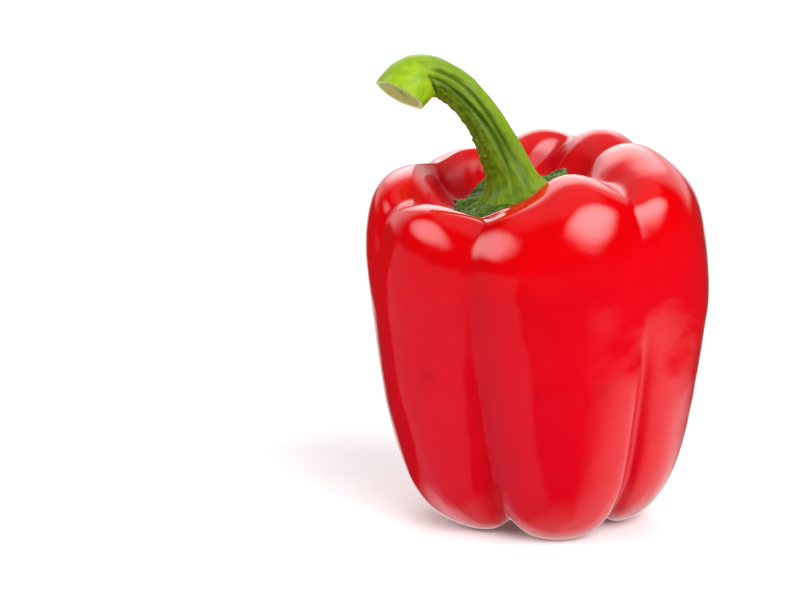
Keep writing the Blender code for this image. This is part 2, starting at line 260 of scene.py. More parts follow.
# Painted light: the paler band along the outer side, turned towards the key lamp: turn and half-width.
LIT_SIDE_TURN = -24.0
LIT_SIDE_SPREAD = 30.0
# The cut face: rings as shares of the way in, depth of the hollow, its share of the face, and the fibres'
# height and wavelength.
CUT_RINGS = (0.012, 0.03, 0.06, 0.1, 0.15, 0.22, 0.3, 0.4, 0.5, 0.6, 0.7, 0.8, 0.9, 0.96)
STEM_END_HOLLOW = 0.6
CUT_HOLLOW_SHARE = 0.9
CUT_FIBRES = (0.10, 0.9)

# Mesh density of the visible pieces, closer together near the grooves and near the feet and the crest.
FRUIT_SIDES = 384
FRUIT_RINGS = 240
CALYX_SIDES = 480
CALYX_RINGS = 56
CALYX_RING_BIAS = 1.3
STEM_SIDES = 240
STEM_RINGS = 300
GROOVE_CROWDING = 0.8
GROOVE_CROWDING_WIDTH = 11.0
RING_CROWDING = 0.6
RING_CROWDING_WIDTH = 2.0
CROWDING_SAMPLES = 1441

# Linear colours of the skin, with the places where each comes in and how strong it gets.
SKIN_TONES = ((0.47, 0.0001, 0.0012), (0.53, 0.0001, 0.0018))
# Painted reflection: low down the skin takes a bluish tint that stands in for the white table's light seen in
# it.
SKIN_LOW_TABLE_TINT = (0.49, 0.0001, 0.0065)
SKIN_LOW_TABLE_TINT_STEPS = (12.5, 8.0)
# Painted shade: the skin is darkened in deep grooves, where shade falls.
SKIN_GROOVE_SHADE = (0.34, 0.0001, 0.0030)
SKIN_GROOVE_SHADE_DEPTHS = (1.5, 6.0, 0.0, 0.7)
# The skin's roughness, from smooth to patchy, and how much rougher it is past the crest.
SKIN_ROUGHNESS = (0.08, 0.11)
SKIN_INSIDE = (14.3, 15.2, 0.0, 0.10)
# Where the skin's shine is turned down as painted shade on its reflections: low in deep grooves, and deep in
# the well.
GLOSS_SHADE_GROOVE_DEPTHS = (1.6, 3.6)
GLOSS_SHADE_GROOVE_STEPS = (7.0, 5.2)
GLOSS_SHADE_WELL_STEPS = (15.1, 16.2)
# The waxy skin's shine, and the lower shine where painted shade turns it down.
WAXY = 0.5
SHADED_GLOSS = 0.14
SKIN_SHEEN = (0.04, 0.25)
SKIN_DEPTH = 0.08
SKIN_DEPTH_RADIUS = (1.0, 0.08, 0.06)
SKIN_DEPTH_SCALE = 0.002
# Noises as scale and detail, and bumps as strength and height in millimetres.
SKIN_CLOUDS = (45.0, 2.0)
SKIN_PATCHES = (160.0, 3.0)
SKIN_GRAIN = (900.0, 2.0)
SKIN_GRAIN_BUMP = (0.035, 0.3)
SKIN_WAVES = (200.0, 1.0)
SKIN_WAVES_BUMP = (0.13, 0.6)

# Small blemishes on the skin: azimuth, height, radius, strength.
MARKS = (
    (-44, 43.0, 2.6, 0.24),
    (20, 41.5, 2.2, 0.22),
    (21.5, 42.6, 1.6, 0.22),
    (25, 44.5, 1.7, 0.20),
    (-3, 40.5, 0.9, 0.36),
    (17, 23.5, 1.2, 0.28),
    (33, 23.0, 1.0, 0.40),
    (104, 62.0, 1.4, 0.28),
    (168, 48.0, 1.6, 0.28),
    (228, 30.0, 1.2, 0.34),
)
MARK_COLOUR = (0.13, 0.001, 0.003)
MARK_OUTER, MARK_INNER = 1.5, 0.6
MARK_EDGES = (1100.0, 3.0)
MARK_RAY_START = 0.1
# The dry scar in the base dimple, at the height of the dimple's first profile point.
SCAR_RADIUS = 3.2
SCAR_COLOUR = (0.22, 0.10, 0.04)

# The calyx's colours, with where each comes in and how strong it gets.
CALYX_TONES = ((0.018, 0.050, 0.001), (0.060, 0.115, 0.003))
# Painted highlight: the raised folds are made paler, a sheen as if they caught the light.
CALYX_FOLD_SHEEN = (0.10, 0.19, 0.02)
CALYX_FOLD_SHEEN_HEIGHTS = (0.35, 1.0, 0.0, 0.8)
CALYX_CENTRE_COLOUR = (0.09, 0.20, 0.010)
CALYX_CENTRE_SHARES = (0.35, 0.6, 0.0, 0.8)
CALYX_ROUGHNESS = (0.42, 0.62)
CALYX_SHINE = 0.2
CALYX_MOTTLE = (700.0, 4.0)
CALYX_GRAIN = (1800.0, 4.0)
CALYX_GRAIN_BUMP = (0.35, 0.3)

# The stem's colours: the shaft, the lime knob, painted shade in the furrows, the warts, painted light on the
# lit side and the cut.
SHAFT_TONES = ((0.072, 0.140, 0.0008), (0.125, 0.205, 0.002))
LIME_TONES = ((0.165, 0.29, 0.001), (0.245, 0.38, 0.008))
LIME_SECTIONS = (7.6, 10.0)
LIME_RAGGEDNESS = 1.6
# Painted shade: the rind is darkened in the furrows.
FURROW_SHADE = (0.036, 0.085, 0.0008)
FURROW_SHADE_DEPTHS = (0.22, 0.85, 0.0, 0.85)
WART_COLOUR = (0.20, 0.24, 0.01)
WART_HEIGHTS = (0.25, 0.9, 0.0, 0.5)
# Painted light: a paler band on the side the key lamp lights.
LIT_SIDE_COLOUR = (0.17, 0.28, 0.006)
LIT_SIDE_SHARES = (0.35, 0.9, 0.0, 0.6)
PITH_TONES = ((0.27, 0.28, 0.055), (0.37, 0.38, 0.11))
PITH_RIM_COLOUR = (0.50, 0.54, 0.22)
PITH_RIM_SHARES = (0.10, 0.18)
CUT_EDGE_SHARES = (0.004, 0.02)
STEM_ROUGHNESS = (0.38, 0.52)
STEM_SHINE = 0.16
STEM_MOTTLE = (420.0, 4.0)
STEM_PATCHES = (160.0, 3.0)
STEM_FIBRES = (1500.0, 4.0, 0.7)
STEM_GRAIN = (1300.0, 4.0)
STEM_GRAIN_BUMP = (0.25, 0.3)
# Most noise lies between these values, some a little more narrowly.
NOISE_RANGE = (0.3, 0.7)
NARROW_NOISE_RANGE = (0.35, 0.65)
CALYX_NOISE_RANGE = (0.35, 0.7)

# Soft lamps: azimuth, elevation, half-width and half-height in degrees, radiance.
LAMPS = (
    (44.0, 38.0, 30.0, 24.0, 7.9),
    (-74.0, 30.0, 31.0, 17.0, 4.8),
    (180.0, 34.0, 26.0, 25.0, 3.8),
)
LAMP_EDGE, LAMP_CORE = 1.7, 0.1
LAMP_AHEAD = 0.1
# Brightness of the rest of the room as the gloss shows it.
ROOM_DARK = 0.012
BACK_BRIGHTNESS = 1.0
WALL_BRIGHTNESS = 0.9
TOP_BRIGHTNESS = 0.5
TABLE_UNDER = 0.7
TABLE_FAR_UNDER = 1.3
TABLE_LEFT = 0.62
TABLE_LEFT_TINT = (0.78, 0.38, 0.58)
TABLE_RIGHT_NEAR = 0.36
TABLE_RIGHT_FAR = 1.0
TABLE_ROUND_BACK = 0.6
# Where each of them starts and reaches full strength. Directions are parts of a unit vector: up and down,
# ahead to the far side, and across, which is measured level and unsigned where a name says beside.
BACK_BESIDE = (0.36, 0.22)
BACK_AHEAD = (0.30, 0.5)
WALL_BESIDE = (0.90, 0.60)
WALL_AHEAD = (0.25, 0.55)
WALL_UP = (-0.04, 0.10)
TOP_UP = (0.72, 0.92)
UNDER_DOWN = (-0.80, -1.0)
FAR_UNDER_DOWN = (-0.50, -0.75)
FAR_UNDER_AHEAD = (0.0, 0.3)
LEFT_ACROSS = (-0.38, -0.50)
LEFT_AHEAD = (0.62, 0.52)
LEFT_HORIZON = (-0.02, -0.08)
LEFT_DEEPENING = (-0.2, -0.6, 0.75, 1.0)
LEFT_BOTTOM = (-0.93, -0.78)
RIGHT_RISE = (0.6, 1.0)
RIGHT_EDGE = (0.44, 0.76)
RIGHT_HORIZON = (-0.30, -0.44)
# Soft light on every surface, from below the horizon to straight above.
SOFT_LOW = 0.05
SOFT_HIGH = 0.35
SOFT_UP = (-0.3, 1.0)

FLOOR_HALF = 5.0
FLOOR_COLOUR = (0.84, 0.84, 0.85, 1.0)
FLOOR_ROUGHNESS = 0.8
FLOOR_SHINE = 0.1
FLOOR_GLOW = 0.06
WHITE = (1.0, 1.0, 1.0)

CAMERA_DISTANCE = 0.650
CAMERA_ELEVATION = 14.0
CAMERA_LENS = 117.9
CAMERA_SENSOR = 36.0
CAMERA_NEAR, CAMERA_FAR = 0.05, 50.0
VIEW_CENTRE = Vector((-0.03392, -0.00006, 0.05242))


# ---------------------------------------------------------------- curves and patterns

def compass(azimuth):
    """X and Y of a unit step outward at an azimuth in radians."""
    return np.sin(azimuth), -np.cos(azimuth)


def direction_from(azimuth, elevation):
    """Unit vector towards an azimuth and elevation in degrees."""
    level = math.cos(math.radians(elevation))
    east, south = compass(math.radians(azimuth))
    return Vector((east * level, south * level, math.sin(math.radians(elevation))))


def in_frame(points):
    """Points of the fruit's own axes moved to the shared frame, in metres."""
    return (np.asarray(points) + np.array(AXIS_SHIFT)) * MM


def smooth_curve(points, steps):
    """Positions and directions on cubic B-splines through control points: ring, column, axis.

    Points are indexed by control point, axis and column; steps by ring and column.
    """
    before = points[1].copy()
    before[:2] = 2.0 * points[0][:2] - points[1][:2]
    after = 2.0 * points[-1] - points[-2]
    padded = np.concatenate([before[None], points, after[None]])
    column = np.arange(points.shape[2])
    steps = np.broadcast_to(steps, (len(steps), len(column)))
    start = np.minimum(steps.astype(int), len(points) - 2)
    part = (steps - start)[..., None]
    place = (
        (1 - part) ** 3 / 6,
        (3 * part ** 3 - 6 * part ** 2 + 4) / 6,
        (-3 * part ** 3 + 3 * part ** 2 + 3 * part + 1) / 6,
        part ** 3 / 6,
    )
    slope = (
        -(1 - part) ** 2 / 2,
        (9 * part ** 2 - 12 * part) / 6,
        (-9 * part ** 2 + 6 * part + 3) / 6,
        part ** 2 / 2,
    )
    nearby = [padded[start + index, :, column] for index in range(4)]
    position = sum(weight * point for weight, point in zip(place, nearby))
    direction = sum(weight * point for weight, point in zip(slope, nearby))
    return position, direction


def eased(steps, places, values):
    """Values between places, easing in and out at each."""
    places = np.array(places, float)
    values = np.array(values, float)
    index = np.clip(np.searchsorted(places, steps, side="right") - 1, 0, len(places) - 2)
    part = np.clip((steps - places[index]) / (places[index + 1] - places[index]), 0.0, 1.0)
    part = part * part * (3.0 - 2.0 * part)
    return values[index] * (1.0 - part) + values[index + 1] * part


def turn_between(azimuth, centre):
    """Signed turn from a centre azimuth, in radians from -pi to pi."""
    turn = azimuth - centre
    return np.arctan2(np.sin(turn), np.cos(turn))


def bell(distance, width):
    """A smooth hump of height 1 around distance 0."""
    return np.exp(-(distance / width) ** 2)


def hump_around(turn, centre, spread):
    """A smooth hump of height 1 around a centre, with centre and spread in degrees."""
    return bell(turn_between(turn, np.radians(centre)), np.radians(spread))


def rounded_valley(away, rounding):
    """Depth of a valley, 1 in the middle, with a round bottom and slopes that fade out."""
    return np.exp(rounding - np.sqrt(away * away + rounding ** 2))


def unit_circle(azimuth):
    """Points around a circle of radius 1, for patterns that run around a piece."""
    return np.stack([np.sin(azimuth), np.cos(azimuth), 0.0 * azimuth], axis=-1)


def swell(points, wavelength, seed, waves=24):
    """A smooth random field over points, about -1 to 1, with bumps about a wavelength across."""
    chance = np.random.default_rng(seed)
    field = np.zeros(points.shape[:-1])
    for _ in range(waves):
        direction = chance.normal(size=3)
        direction /= np.linalg.norm(direction)
        pitch = wavelength * chance.uniform(0.7, 1.4)
        phase = chance.uniform(0.0, 2.0 * np.pi)
        field += np.cos(points @ direction * (2.0 * np.pi / pitch) + phase)
    return field / math.sqrt(waves)


def swells(points, layers):
    """Several random fields added up, each given as height, wavelength and seed."""
    return sum(height * swell(points, wavelength, seed) for height, wavelength, seed in layers)


def crowded(low, high, count, centres, width, gain):
    """Values from low to high, closer together near the centres."""
    fine = np.linspace(low, high, CROWDING_SAMPLES)
    density = np.ones_like(fine)
    for centre in centres:
        density += gain * bell(fine - centre, width)
    travelled = np.concatenate([[0.0], np.cumsum((density[1:] + density[:-1]) / 2)])
    return np.interp(np.linspace(0.0, travelled[-1], count), travelled, fine)


# ---------------------------------------------------------------- shape of the fruit

def swelling_blend(column, azimuth):
    """A swelling's value, blended smoothly between neighbours."""
    centres = np.radians([row[0] for row in SWELLINGS])
    values = np.array([row[column] for row in SWELLINGS])
    weights = np.exp(SWELLING_SHARPNESS * (np.cos(azimuth[:, None] - centres) - 1.0))
    return (weights * values).sum(axis=1) / weights.sum(axis=1)


def well_floor(x, y):
    """Height of the tilted floor of the well."""
    east, south = compass(np.radians(WELL_TILT_AZIMUTH))
    downhill = (x - WELL_CENTRE[0]) * east + (y - WELL_CENTRE[1]) * south
    return WELL_FLOOR_HEIGHT - np.tan(np.radians(WELL_TILT)) * downhill


def well_normal():
    """Upward normal of the tilted floor of the well."""
    east, south = compass(np.radians(WELL_TILT_AZIMUTH))
    tilt = np.radians(WELL_TILT)
    return np.array([np.sin(tilt) * east, np.sin(tilt) * south, np.cos(tilt)])


def control_points(azimuth):
    """Profile control points for each azimuth, as an array of step, axis, azimuth."""
    blended = [swelling_blend(column, azimuth) for column in range(1, len(SWELLINGS[0]))]
    crest_z, crest_r, shoulder, belly, foot, foot_rise = blended
    east, south = compass(azimuth)
    points = []
    for radius, height, foot_share, belly_share in LOWER_PROFILE:
        reach = radius + foot * foot_share + belly * belly_share
        points.append((reach * east, reach * south, height + foot_rise * foot_share))
    for beyond, height, shoulder_share, crest_share in SHOULDER_PROFILE:
        reach = CREST_RADIUS + beyond + (crest_r - CREST_RADIUS) * crest_share + shoulder * shoulder_share
        points.append((reach * east, reach * south, crest_z + height))
    for radius, rise, offset, crest_share in WELL_WALL:
        reach = radius + (crest_r - CREST_RADIUS) * crest_share
        x = reach * east + WELL_CENTRE[0] * offset
        y = reach * south + WELL_CENTRE[1] * offset
        floor = well_floor(x, y)
        points.append((x, y, floor + rise * (crest_z - floor)))
    for radius in WELL_FLOOR_RADII:
        x = radius * east + WELL_CENTRE[0]
        y = radius * south + WELL_CENTRE[1]
        points.append((x, y, well_floor(x, y)))
    return np.array(points)


def groove_depth(azimuth, steps):
    """How deep the grooves cut at each step and azimuth."""
    depth = 0.0
    rounding = GROOVE_ROUNDING * eased(steps, ROUNDING_STEPS, (1, 1, CREST_ROUNDING, CREST_ROUNDING))
    for rows in GROOVE_ROWS.values():
        places = [row[0] for row in rows]
        centre = np.radians(eased(steps, places, [row[1] for row in rows]))
        deepest = eased(steps, places, [row[2] for row in rows])
        width = np.radians(eased(steps, places, [row[3] for row in rows]))
        depth = depth + deepest * rounded_valley(turn_between(azimuth, centre) / width, rounding)
    return depth * eased(steps, (0, BASE_FADE, WELL_FADE, LAST_STEP), IN_AND_OUT)


def fruit_surface(azimuth, steps):
    """Points on the fruit's skin and the outward normal of its profile: ring, column, axis."""
    position, direction = smooth_curve(control_points(azimuth), steps)
    east, south = compass(azimuth)
    run = direction[..., 0] * east + direction[..., 1] * south
    rise = direction[..., 2]
    length = np.hypot(run, rise) + 1e-9
    outward = np.stack([rise / length * east, rise / length * south, -run / length], axis=-1)
    return position - outward * groove_depth(azimuth, steps)[..., None], outward


def fruit_azimuths(count):
    """Azimuths around the fruit, closer together near the grooves."""
    grooves = [np.mean([row[1] for row in rows]) for rows in GROOVE_ROWS.values()]
    centres = [groove + turn for groove in grooves for turn in (-360, 0, 360)]
    spaced = crowded(-180, 180, count + 1, centres, GROOVE_CROWDING_WIDTH, GROOVE_CROWDING)
    return np.radians(spaced[:-1])


# ---------------------------------------------------------------- meshes

def closed_piece(name, first_pole, rings, last_pole):
    """A closed smooth object from rings of points with a pole at each end."""
    count, sides, _ = rings.shape
    points = np.concatenate([[first_pole], rings.reshape(-1, 3), [last_pole]])
    last = len(points) - 1
    side = np.arange(sides)
    following = (side + 1) % sides
    first_fan = np.stack([np.zeros(sides, int), 1 + following, 1 + side], axis=1)
    start = 1 + (count - 1) * sides
    last_fan = np.stack([np.full(sides, last), start + side, start + following], axis=1)
    low = (1 + np.arange(count - 1) * sides)[:, None]
    quads = np.stack([low + side, low + following, low + sides + following, low + sides + side], axis=2)
    faces = first_fan.tolist() + quads.reshape(-1, 4).tolist() + last_fan.tolist()
    mesh = bpy.data.meshes.new(name)
    mesh.from_pydata(points.tolist(), [], faces)
    mesh.validate()
    mesh.shade_smooth()
    piece = bpy.data.objects.new(name, mesh)
    bpy.context.scene.collection.objects.link(piece)
    return piece


def store(piece, name, first_value, ring_values, last_value):
    """Keeps one number per vertex on the mesh, for the material to read."""
    values = np.concatenate([[first_value], np.ravel(ring_values), [last_value]])
    attribute = piece.data.attributes.new(name, "FLOAT", "POINT")
    attribute.data.foreach_set("value", values.astype(np.float32))


# ---------------------------------------------------------------- the fruit

def skin_relief(points, azimuth, steps):
    """Height of the skin's gentle unevenness and of the faint ribs inside the well."""
    broad_height, broad_length = BROAD_WAVES
    fine_height, fine_length = FINE_WAVES
    uneven = broad_height * swell(points, broad_length, 3) + fine_height * swell(points, fine_length, 4)
    uneven = uneven * eased(steps, UNEVEN_STEPS, IN_AND_OUT)
    around = unit_circle(azimuth) * RIB_CIRCLE + steps[..., None] * RIB_LEAN
    ribs = RIB_HEIGHT * swell(around, RIB_WAVELENGTH, 5) * hump_around(azimuth, RIB_AZIMUTH, RIB_SPREAD)
    return uneven + ribs * eased(steps, RIB_STEPS, IN_AND_OUT)


def build_fruit():
    """The skin: the fruit's surface with its relief, standing flat on the table."""
    azimuth = fruit_azimuths(FRUIT_SIDES)
    dense = (FOOT_STEP, CREST_STEP)
    steps = crowded(0, LAST_STEP, FRUIT_RINGS + 2, dense, RING_CROWDING_WIDTH, RING_CROWDING)[:, None]
    points, outward = fruit_surface(azimuth, steps)
    points = in_frame(points + outward * skin_relief(points, azimuth, steps)[..., None])
    points[..., 2] = np.maximum(points[..., 2], 0.0)
    piece = closed_piece("pepper_skin", points[0, 0], points[1:-1], points[-1, 0])
    depth = groove_depth(azimuth, steps)
    for name, values in (("groove", depth), ("step", np.broadcast_to(steps, depth.shape))):
        store(piece, name, values[0, 0], values[1:-1], values[-1, 0])
    return piece


# ---------------------------------------------------------------- the calyx

def sepal_sum(azimuth, column, sharpness=1.0):
    """A sepal's value at its own azimuth, falling to nothing between sepals."""
    total = 0.0
    for row in SEPALS:
        away = turn_between(azimuth, np.radians(row[0]))
        total = total + row[column] * bell(away, np.radians(row[SEPAL_WIDTH]) / sharpness)
    return total


def calyx_folds(azimuth, share):
    """Height of the folds and of each sepal's middle rib, fading towards the stem."""
    edge = 1.0 - share
    pleats = unit_circle(azimuth)[None] * FOLD_CIRCLE + share[..., None] * np.array(FOLD_DRIFT)
    folds = FOLD_HEIGHT * (1.0 + swell(pleats, FOLD_WAVELENGTH, 13)) * edge ** FOLD_FADE
    ribs = sepal_sum(azimuth, SEPAL_WIDTH, SEPAL_RIB_SHARPNESS) / SEPAL_USUAL_WIDTH
    return folds + SEPAL_RIB_HEIGHT * ribs * edge


def calyx_thickness(share):
    """Thickness from the margin in, and how far the margin's rounded edge has opened up, from 0 to 1."""
    swelling = CALYX_THICKNESS - CALYX_MARGIN_THICKNESS
    thick = CALYX_MARGIN_THICKNESS + swelling * np.minimum(share * 2.0, 1.0)
    opened = np.sqrt(1.0 - (1.0 - np.minimum(share / CALYX_EDGE_SHARE, 1.0)) ** 2)
    return thick, opened


def build_calyx():
    """The calyx: a wrinkled dish whose folded sepals turn up along the wall of the well."""
    azimuth = np.linspace(-np.pi, np.pi, CALYX_SIDES, endpoint=False)
    share = (np.linspace(0.0, 1.0, CALYX_RINGS + 1)[:-1] ** CALYX_RING_BIAS)[:, None]
    notches = swells(unit_circle(azimuth) * NOTCH_CIRCLE, NOTCHES)
    margin = CALYX_MARGIN_STEP - sepal_sum(azimuth, SEPAL_REACH) - notches
    points, outward = fruit_surface(azimuth, margin + (LAST_STEP - margin) * share)
    folds = calyx_folds(azimuth, share)
    edge = 1.0 - share
    curl = sepal_sum(azimuth, SEPAL_CURL) * edge ** 3
    lift = GAP + CALYX_MARGIN_LIFT * edge ** 2 + np.maximum(folds, 0.0) + curl
    wrinkles = swells(points, WRINKLES)
    thick, opened = calyx_thickness(share)
    middle = lift + thick / 2.0
    under = points + outward * (middle - thick / 2.0 * opened)[..., None]
    upper = points + outward * (middle + thick / 2.0 * opened + wrinkles * opened)[..., None]
    seat = np.array([*WELL_CENTRE, WELL_FLOOR_HEIGHT])
    low_pole = in_frame(seat + well_normal() * GAP)
    high_pole = in_frame(seat + well_normal() * (GAP + CALYX_THICKNESS))
    piece = closed_piece("calyx_leaf", low_pole, in_frame(np.concatenate([under[:0:-1], upper])), high_pole)
    shares = np.broadcast_to(share, folds.shape)
    store(piece, "share", 1.0, np.concatenate([shares[:0:-1], shares]), 1.0)
    store(piece, "fold", 0.0, np.concatenate([folds[:0:-1], folds + wrinkles]), 0.0)
    return piece


# ---------------------------------------------------------------- the stem

def stem_surface(count, sides):
    """Points around the stem from its foot to the cut end, each point's outward direction, turn and place."""
    sections = np.array(STEM_SECTIONS, float)
    place = np.linspace(0.0, len(sections) - 1.0, count)[:, None]
    rows, _ = smooth_curve(sections[:, :, None], place)
    x, y, z, lean, width, depth = (rows[..., index] for index in range(6))
    turn = np.linspace(0.0, 2.0 * np.pi, sides, endpoint=False)[None]
    lean = np.radians(lean)
    turned = np.clip((place - STEM_TURN_START) / STEM_TURN_LENGTH, 0.0, 1.0)
    yaw = np.radians(STEM_END_TURN) * turned
    flat = np.zeros_like(lean)
    across = np.stack([np.cos(lean), flat, np.sin(lean)], axis=-1)
    along = np.stack([-np.sin(lean), flat, np.cos(lean)], axis=-1)
    level = np.array([0.0, 1.0, 0.0])
    deep = np.cos(yaw)[..., None] * level + np.sin(yaw)[..., None] * along
    outward = np.cos(turn)[..., None] * across + np.sin(turn)[..., None] * deep
    ring = (np.cos(turn) * width / 2.0)[..., None] * across + (np.sin(turn) * depth / 2.0)[..., None] * deep
    return ring + np.stack([x, y, z], axis=-1), outward, turn, place


def furrow_depth(turn, place):
    """How deep the furrows and the crease under the knob cut at each turn and place along the stem."""
    depth = 0.0
    for centre, deepest, width, first, last in STEM_FURROWS:
        wander = np.radians(FURROW_WANDER) * np.sin(place * FURROW_PITCH + centre)
        away = turn_between(turn, np.radians(centre) + wander) / np.radians(width)
        reach = (first - FURROW_EASE[0], first + FURROW_EASE[1], last - FURROW_EASE[2], last + FURROW_EASE[3])
        strength = eased(place, reach, (FURROW_START, 1, 1, 0))
        depth = depth + deepest * strength * rounded_valley(away, FURROW_ROUNDING)
    across = bell(turn_between(turn, np.radians(CREASE_TURN)), CREASE_SPREAD)
    along = bell(place - CREASE_SECTION - CREASE_SLANT * np.cos(turn), CREASE_LENGTH)
    return depth + CREASE_DEPTH * along * across


def stem_relief(points, outward, turn, place):
    """The stem's surface height, and the field of its warts for the material."""
    around = np.broadcast_to(outward, points.shape) * STREAK_CIRCLE + place[..., None] * STREAK_DRIFT
    knob = eased(place, KNOB_SECTIONS, (0, 1))
    streak_height, streak_length = STREAKS
    streaks = streak_height * swell(around, streak_length, 21) * (1.0 - KNOB_STREAK_LOSS * knob)
    wart_height, wart_length = WARTS
    inner_side = hump_around(turn, WART_TURN, WART_SPREAD) * eased(place, WART_SECTIONS, IN_AND_OUT)
    warts = swell(points, wart_length, 22) * inner_side
    lump_height, lump_length = LUMPS
    lumps = lump_height * swell(points, lump_length, 23) * knob
    return streaks + wart_height * warts + lumps, warts


def toe_height(turn, place):
    """Height of the toes that the stem's foot spreads onto the calyx."""
    return TOE_HEIGHT * np.cos(TOES * turn + TOE_START) * eased(place, (0.0, TOE_SECTIONS), (1.0, 0.0))


def seat_stem(points, place, calyx_piece):
    """Flares the stem's foot and brings it down onto the calyx."""
    tree = BVHTree.FromObject(calyx_piece, bpy.context.evaluated_depsgraph_get())
    centre = np.array(STEM_SECTIONS[0][:2])
    near = eased(place, (0.0, FLARE_SECTIONS), (1.0, 0.0))
    spread = 1.0 + FLARE * near ** 2
    points[..., :2] = centre + (points[..., :2] - centre) * spread[..., None]
    for index, point in enumerate(in_frame(points[0])):
        start = Vector(point) + Vector((0.0, 0.0, RAY_START))
        hit = tree.ray_cast(start, Vector((0.0, 0.0, -1.0)))[0]
        drop = (point[2] - hit[2]) / MM - FOOT_SINK
        points[:, index, 2] -= drop * near[:, 0]
    return points


def cut_face(rim):
    """Rings of the hollowed, fibrous cut inside the stem's last ring, and the pole in its middle."""
    end = rim.mean(axis=0)
    axis = np.cross(rim[0] - end, rim[STEM_SIDES // 4] - end)
    axis /= np.linalg.norm(axis)
    inward = np.array(CUT_RINGS)
    hollow = STEM_END_HOLLOW * (1.0 - ((1.0 - inward) / CUT_HOLLOW_SHARE) ** 4).clip(0.0, 1.0)
    fibre_height, fibre_length = CUT_FIBRES
    rough = fibre_height * swell(rim[None] * inward[:, None, None], fibre_length, 24)
    face = end + (rim - end) * (1.0 - inward)[:, None, None]
    return face - axis * (hollow[:, None] + rough)[..., None], end - axis * STEM_END_HOLLOW


def build_stem(calyx_piece):
    """The stem: a furrowed stalk that flares onto the calyx, bends over and ends in a hollowed cut."""
    points, outward, turn, place = stem_surface(STEM_RINGS, STEM_SIDES)
    furrows = furrow_depth(turn, place)
    relief, warts = stem_relief(points, outward, turn, place)
    points = points + outward * (relief - furrows + toe_height(turn, place))[..., None]
    points = seat_stem(points, place, calyx_piece)
    face, middle = cut_face(points[-1])
    rings = in_frame(np.concatenate([points, face]))
    piece = closed_piece("stem_rind", in_frame(points[0].mean(axis=0)), rings, in_frame(middle))
    blank = np.zeros((len(CUT_RINGS), STEM_SIDES))
    end_place = len(STEM_SECTIONS) - 1.0
    # Painted light: a paler band on the side the key lamp lights, kept as the outer attribute.
    lit_side = np.broadcast_to(hump_around(turn, LIT_SIDE_TURN, LIT_SIDE_SPREAD), furrows.shape)
    inward = blank + np.array(CUT_RINGS)[:, None]
    for name, along_stem, on_face, last in (
            ("furrow", furrows, blank, 0.0),
            ("place", np.broadcast_to(place, furrows.shape), blank + end_place, end_place),
            ("cut", 0.0 * furrows, inward, 1.0),
            ("bumps", warts, blank, 0.0),
            ("outer", lit_side, blank, 0.0)):
        store(piece, name, 0.0, np.concatenate([along_stem, on_face]), last)
    return piece


def show(piece, node):
    """A piece stands for a CAD node: it hangs from the root, and the CAD node's own part is hidden."""
    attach(piece, "root")
    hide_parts(node)


skin = build_fruit()
calyx = build_calyx()
stem = build_stem(calyx)
show(skin, "pepper_body")
show(calyx, "calyx")
show(stem, "stem")


# ---------------------------------------------------------------- shader nodes

